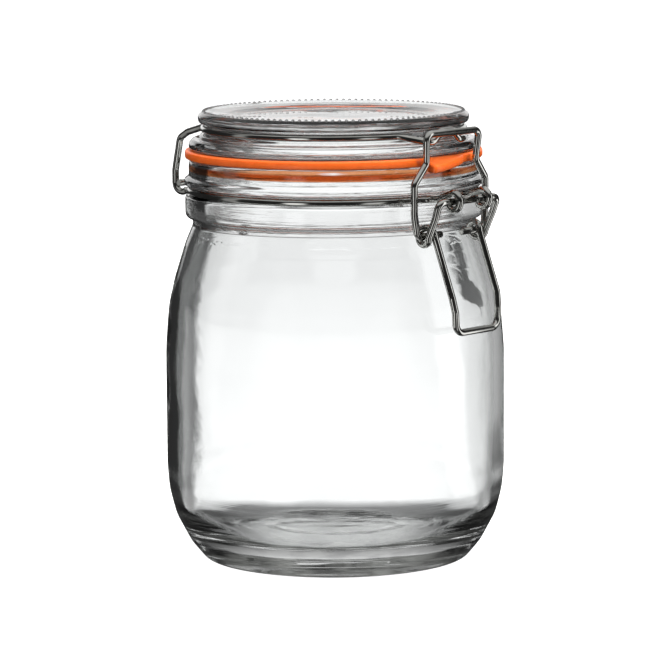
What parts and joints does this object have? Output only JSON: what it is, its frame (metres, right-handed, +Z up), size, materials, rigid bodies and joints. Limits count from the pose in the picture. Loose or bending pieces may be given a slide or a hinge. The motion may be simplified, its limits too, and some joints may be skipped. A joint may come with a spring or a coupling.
{
  "type": "clip-top storage jar",
  "caption": "Empty clear glass storage jar with a hinged glass lid, an orange rubber sealing ring and a steel wire lever clasp.",
  "frame": {"origin": "centre of the flat ring that the jar stands on", "axes": "+Z up along the jar's axis, the clasp faces -Y, the lid's hinge is at +Y, +X to the right of someone facing the clasp"},
  "size_m": [0.106, 0.118, 0.1402],
  "materials": {
    "glass": "clear pressed glass",
    "rubber": "satin natural rubber, orange",
    "wire": "drawn stainless steel wire, polished"
  },
  "bodies": {
    "jar": {"jar_glass": "glass", "gasket": "rubber", "neck_band": "wire"},
    "lid": {"lid_glass": "glass", "lid_band": "wire"},
    "lever": {"lever": "wire"},
    "link": {"link": "wire"}
  },
  "joints": [
    {"name": "lid_hinge", "type": "hinge", "parent": "jar", "child": "lid", "pos_m": [0, 0.055, 0.1146], "axis": [-1, 0, 0], "range_deg": [0, 130]},
    {"name": "lever_pivot", "type": "hinge", "parent": "jar", "child": "lever", "pos_m": [0, -0.0547, 0.1153], "axis": [-1, 0, 0], "range_deg": [0, 115]},
    {"name": "link_pivot", "type": "hinge", "parent": "lever", "child": "link", "pos_m": [0, -0.0477, 0.1047], "axis": [-1, 0, 0], "range_deg": [-135, 0]}
  ],
  "couplings": [
    {"joint": "link_pivot", "follows": "lever_pivot", "ratio": -1.15}
  ]
}
